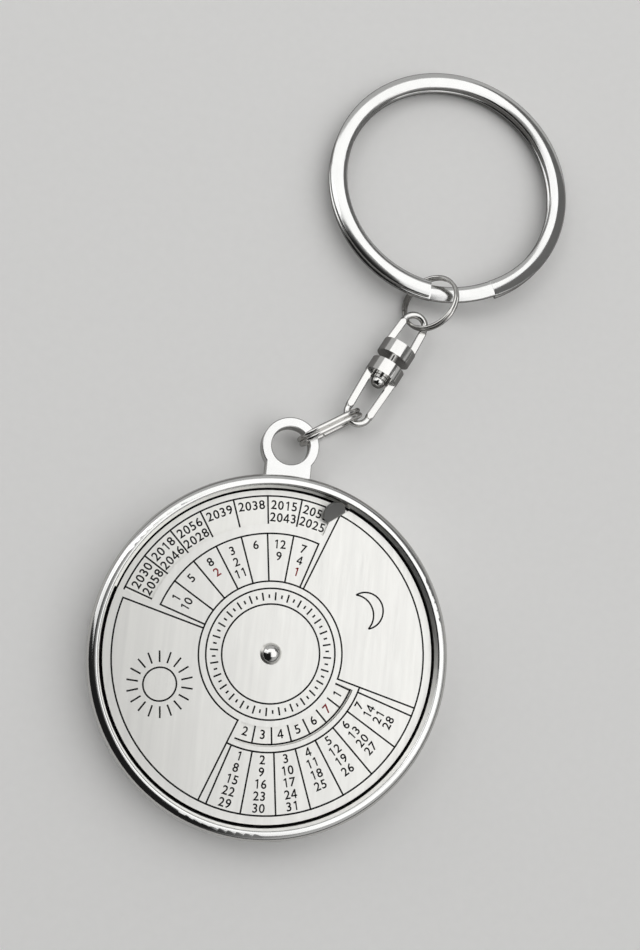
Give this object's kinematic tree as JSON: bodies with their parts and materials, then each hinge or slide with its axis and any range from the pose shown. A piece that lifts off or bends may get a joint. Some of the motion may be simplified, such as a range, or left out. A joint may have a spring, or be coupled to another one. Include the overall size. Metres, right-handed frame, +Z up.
{
  "type": "perpetual calendar keyring",
  "caption": "Round metal keyring fob with a turning calendar dial in a rimmed case, hung by an oval link and a swivel on a split key ring.",
  "frame": {"origin": "centre of the case's back, on the plane that the case lies on", "axes": "+Z up along the centre rivet, +Y from the centre to the lug, +X to the right of the dial"},
  "size_m": [0.0516, 0.0934, 0.0058],
  "materials": {
    "case_metal": "polished",
    "year_steel": "brushed",
    "dial_steel": "brushed",
    "rivet_metal": "polished",
    "wire_metal": "polished",
    "swivel_metal": "polished",
    "key_ring_metal": "polished"
  },
  "bodies": {
    "case": {"case": "case_metal", "year_disc": "year_steel", "centre_rivet": "rivet_metal"},
    "dial": {"dial": "dial_steel"},
    "lug_link": {"lug_link": "wire_metal"},
    "lower_yoke": {"lower_yoke": "swivel_metal"},
    "upper_yoke": {"upper_yoke": "swivel_metal", "swivel_pin": "swivel_metal", "swivel_washer": "swivel_metal"},
    "small_ring": {"small_ring": "wire_metal"},
    "key_ring": {"key_ring": "key_ring_metal"}
  },
  "joints": [
    {"name": "dial_turn", "type": "hinge", "parent": "case", "child": "dial", "pos_m": [0, 0, 0.0036], "axis": [0, 0, 1], "continuous": true},
    {"name": "link_swing", "type": "hinge", "parent": "case", "child": "lug_link", "pos_m": [0, 0.02355, 0.00265], "axis": [0, 0, 1], "range_deg": [-40, 90]},
    {"name": "yoke_swing", "type": "hinge", "parent": "lug_link", "child": "lower_yoke", "pos_m": [0.00772, 0.02868, 0.00225], "axis": [0, 0, 1], "range_deg": [-40, 50]},
    {"name": "swivel_turn", "type": "hinge", "parent": "lower_yoke", "child": "upper_yoke", "pos_m": [0.00772, 0.02868, 0.00225], "axis": [0.454, 0.891, 0], "continuous": true},
    {"name": "ring_turn", "type": "hinge", "parent": "upper_yoke", "child": "small_ring", "pos_m": [0.01515, 0.04298, 0.00294], "axis": [-0.6841, 0.2223, 0.6947], "range_deg": [-60, 45]},
    {"name": "key_ring_lift", "type": "hinge", "parent": "small_ring", "child": "key_ring", "pos_m": [0.01565, 0.0445, 0.00264], "axis": [0.9976, -0.0698, 0], "range_deg": [0, 60]}
  ]
}
